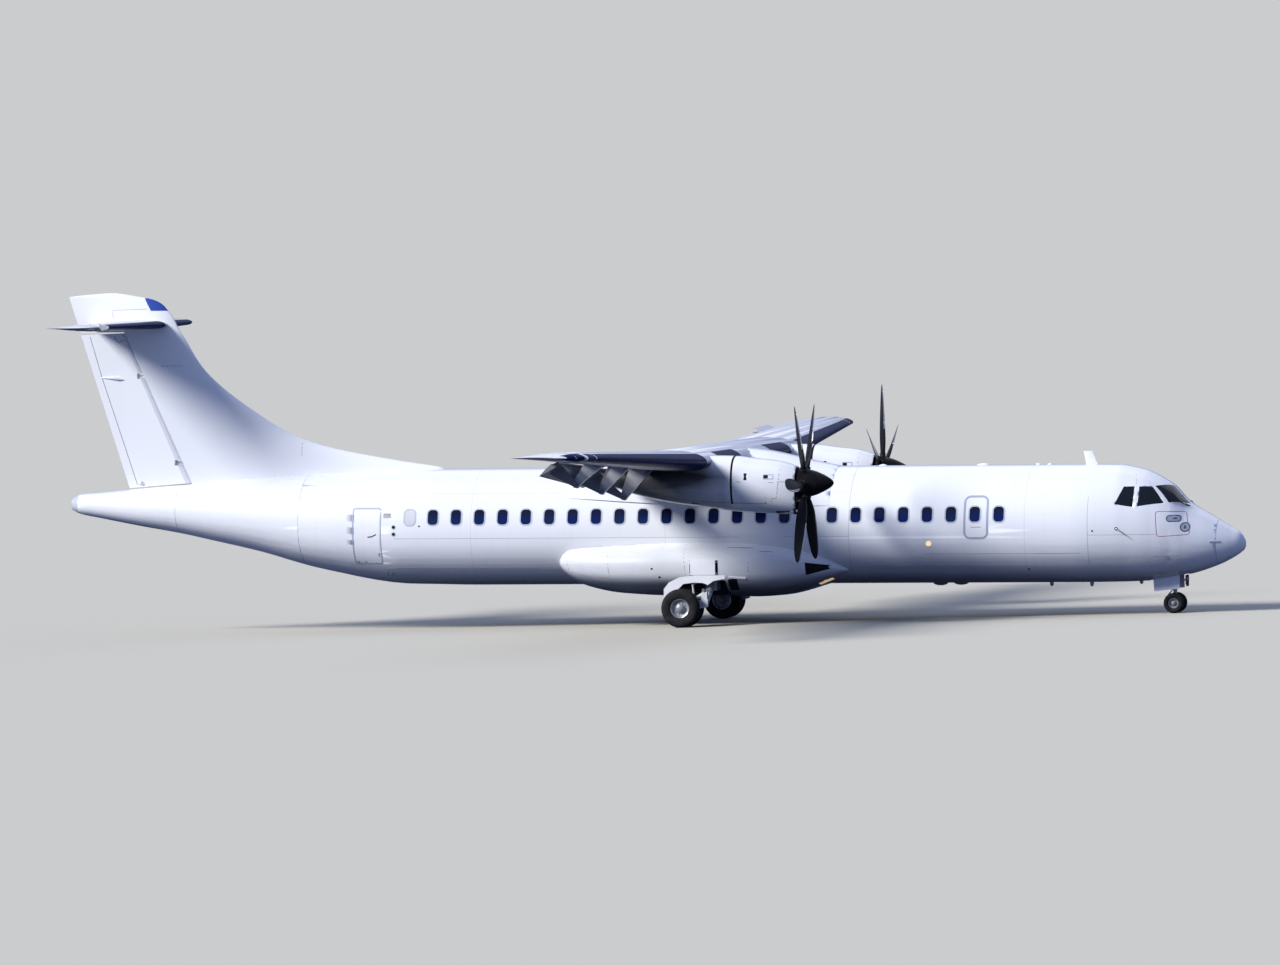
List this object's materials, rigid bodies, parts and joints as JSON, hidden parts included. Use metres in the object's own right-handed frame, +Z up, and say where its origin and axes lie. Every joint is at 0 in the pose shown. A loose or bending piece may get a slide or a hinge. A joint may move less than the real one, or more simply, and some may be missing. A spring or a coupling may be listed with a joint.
{
  "type": "twin turboprop airliner",
  "caption": "High-wing twin turboprop airliner with a T-tail, parked on its wheels with its flaps lowered.",
  "frame": {"origin": "on the ground, under the middle of the aircraft's length and on its middle plane", "axes": "+X forward, +Y to port, +Z up"},
  "size_m": [27.1516, 27.05, 7.8111],
  "materials": {
    "white_paint": "gloss",
    "grey_paint": "satin",
    "gear_paint": "satin",
    "blade_black": "satin black",
    "engine_metal": "dull",
    "wheel_metal": "machined",
    "tyre": "matt rubber",
    "glass": "dark polished"
  },
  "bodies": {
    "airframe": {"fuselage": "white_paint", "radome": "white_paint", "tail_section": "white_paint", "tail_cone_cap": "grey_paint", "windshield_left": "glass", "windshield_right": "glass", "side_window_left": "glass", "side_window_right": "glass", "rear_window_left": "glass", "rear_window_right": "glass", "emergency_exit_left": "white_paint", "emergency_exit_right": "white_paint", "service_door": "white_paint", "wing_center": "white_paint", "wing_left": "white_paint", "wing_right": "white_paint", "wing_fairing": "white_paint", "fin": "white_paint", "tailplane": "white_paint", "nacelle_left": "white_paint", "nacelle_right": "white_paint", "engine_left": "engine_metal", "engine_right": "engine_metal", "gear_fairing": "white_paint", "main_gear_leg_left": "gear_paint", "main_gear_leg_right": "gear_paint", "main_gear_door_left": "white_paint", "main_gear_door_right": "white_paint", "nose_gear_leg": "gear_paint", "nose_gear_door_left": "white_paint", "nose_gear_door_right": "white_paint"},
    "passenger_door": {"passenger_door": "white_paint"},
    "cargo_door": {"cargo_door": "white_paint"},
    "aileron_left": {"aileron_left": "white_paint"},
    "aileron_right": {"aileron_right": "white_paint"},
    "spoiler_left": {"spoiler_left": "grey_paint"},
    "spoiler_right": {"spoiler_right": "grey_paint"},
    "flap_inner_left": {"flap_inner_left": "grey_paint"},
    "flap_inner_right": {"flap_inner_right": "grey_paint"},
    "flap_outer_left": {"flap_outer_left": "grey_paint"},
    "flap_outer_right": {"flap_outer_right": "grey_paint"},
    "elevator_left": {"elevator_left": "white_paint"},
    "elevator_right": {"elevator_right": "white_paint"},
    "rudder": {"rudder": "white_paint"},
    "propeller_left": {"propeller_left": "blade_black", "spinner_left": "blade_black"},
    "propeller_right": {"propeller_right": "blade_black", "spinner_right": "blade_black"},
    "main_wheels_left": {"main_wheels_left": "wheel_metal", "main_tyre_left_left": "tyre", "main_tyre_left_right": "tyre"},
    "main_wheels_right": {"main_wheels_right": "wheel_metal", "main_tyre_right_left": "tyre", "main_tyre_right_right": "tyre"},
    "nose_steering": {"nose_gear_fork": "gear_paint"},
    "nose_wheels": {"nose_wheels": "wheel_metal", "nose_tyre_left": "tyre", "nose_tyre_right": "tyre"}
  },
  "joints": [
    {"name": "passenger_door_hinge", "type": "hinge", "parent": "airframe", "child": "passenger_door", "pos_m": [-6.67841, 1.13058, 1.49732], "axis": [-0.9998, 0, 0.0174], "range_deg": [0, 140]},
    {"name": "cargo_door_hinge", "type": "hinge", "parent": "airframe", "child": "cargo_door", "pos_m": [9.01626, 1.17134, 2.7736], "axis": [0.9998, 0, -0.0174], "range_deg": [0, 120]},
    {"name": "aileron_left_hinge", "type": "hinge", "parent": "airframe", "child": "aileron_left", "pos_m": [0.70422, 9.9, 4.02451], "axis": [0.0081, 0.999, 0.0434], "range_deg": [-14, 14]},
    {"name": "aileron_right_hinge", "type": "hinge", "parent": "airframe", "child": "aileron_right", "pos_m": [0.70422, -9.9, 4.02451], "axis": [0.0081, -0.999, 0.0434], "range_deg": [-14, 14]},
    {"name": "spoiler_left_hinge", "type": "hinge", "parent": "airframe", "child": "spoiler_left", "pos_m": [0.72281, 8.25, 4.04841], "axis": [0.0063, 0.9994, 0.0344], "range_deg": [-35, 22]},
    {"name": "spoiler_right_hinge", "type": "hinge", "parent": "airframe", "child": "spoiler_right", "pos_m": [0.72281, -8.25, 4.04841], "axis": [-0.0063, 0.9994, -0.0344], "range_deg": [0, 57]},
    {"name": "flap_outer_left_hinge", "type": "hinge", "parent": "airframe", "child": "flap_outer_left", "pos_m": [0.68997, 5.2, 3.05896], "axis": [-0.0156, 0.9946, 0.1022], "range_deg": [0, 33]},
    {"name": "flap_outer_right_hinge", "type": "hinge", "parent": "airframe", "child": "flap_outer_right", "pos_m": [0.68997, -5.2, 3.05896], "axis": [0.0156, 0.9946, -0.1022], "range_deg": [0, 33]},
    {"name": "flap_inner_left_hinge", "type": "hinge", "parent": "airframe", "child": "flap_inner_left", "pos_m": [0.69049, 1.56, 3.08896], "axis": [0, 1, 0], "range_deg": [0, 33]},
    {"name": "flap_inner_right_hinge", "type": "hinge", "parent": "airframe", "child": "flap_inner_right", "pos_m": [0.69049, -1.56, 3.08896], "axis": [0, 1, 0], "range_deg": [0, 33]},
    {"name": "elevator_left_hinge", "type": "hinge", "parent": "airframe", "child": "elevator_left", "pos_m": [-12.31727, 0.18, 7.07658], "axis": [-0.0332, 0.9994, 0.0006], "range_deg": [-13, 23]},
    {"name": "elevator_right_hinge", "type": "hinge", "parent": "airframe", "child": "elevator_right", "pos_m": [-12.31727, -0.18, 7.07658], "axis": [0.0332, 0.9994, -0.0006], "range_deg": [-13, 23]},
    {"name": "rudder_hinge", "type": "hinge", "parent": "airframe", "child": "rudder", "pos_m": [-10.88679, 0, 3.59108], "axis": [-0.3849, 0, 0.9229], "range_deg": [-27, 27]},
    {"name": "propeller_left_spin", "type": "hinge", "parent": "airframe", "child": "propeller_left", "pos_m": [4.52314, 4.05, 3.20708], "axis": [0.9998, 0, -0.0174], "continuous": true},
    {"name": "propeller_right_spin", "type": "hinge", "parent": "airframe", "child": "propeller_right", "pos_m": [4.52314, -4.05, 3.20708], "axis": [0.9998, 0, -0.0174], "continuous": true},
    {"name": "main_wheels_left_spin", "type": "hinge", "parent": "airframe", "child": "main_wheels_left", "pos_m": [1.1842, 2.05, 0.432], "axis": [0, 1, 0], "continuous": true},
    {"name": "main_wheels_right_spin", "type": "hinge", "parent": "airframe", "child": "main_wheels_right", "pos_m": [1.1842, -2.05, 0.432], "axis": [0, 1, 0], "continuous": true},
    {"name": "nose_steer", "type": "hinge", "parent": "airframe", "child": "nose_steering", "pos_m": [11.95222, 0, 0.225], "axis": [0.0174, 0, 0.9998], "range_deg": [-60, 60]},
    {"name": "nose_wheels_spin", "type": "hinge", "parent": "nose_steering", "child": "nose_wheels", "pos_m": [11.95222, 0, 0.225], "axis": [0, 1, 0], "continuous": true}
  ],
  "couplings": [
    {"joint": "aileron_right_hinge", "follows": "aileron_left_hinge", "ratio": 1},
    {"joint": "elevator_right_hinge", "follows": "elevator_left_hinge", "ratio": 1},
    {"joint": "flap_outer_right_hinge", "follows": "flap_outer_left_hinge", "ratio": 1},
    {"joint": "flap_inner_left_hinge", "follows": "flap_outer_left_hinge", "ratio": 1},
    {"joint": "flap_inner_right_hinge", "follows": "flap_outer_left_hinge", "ratio": 1}
  ]
}
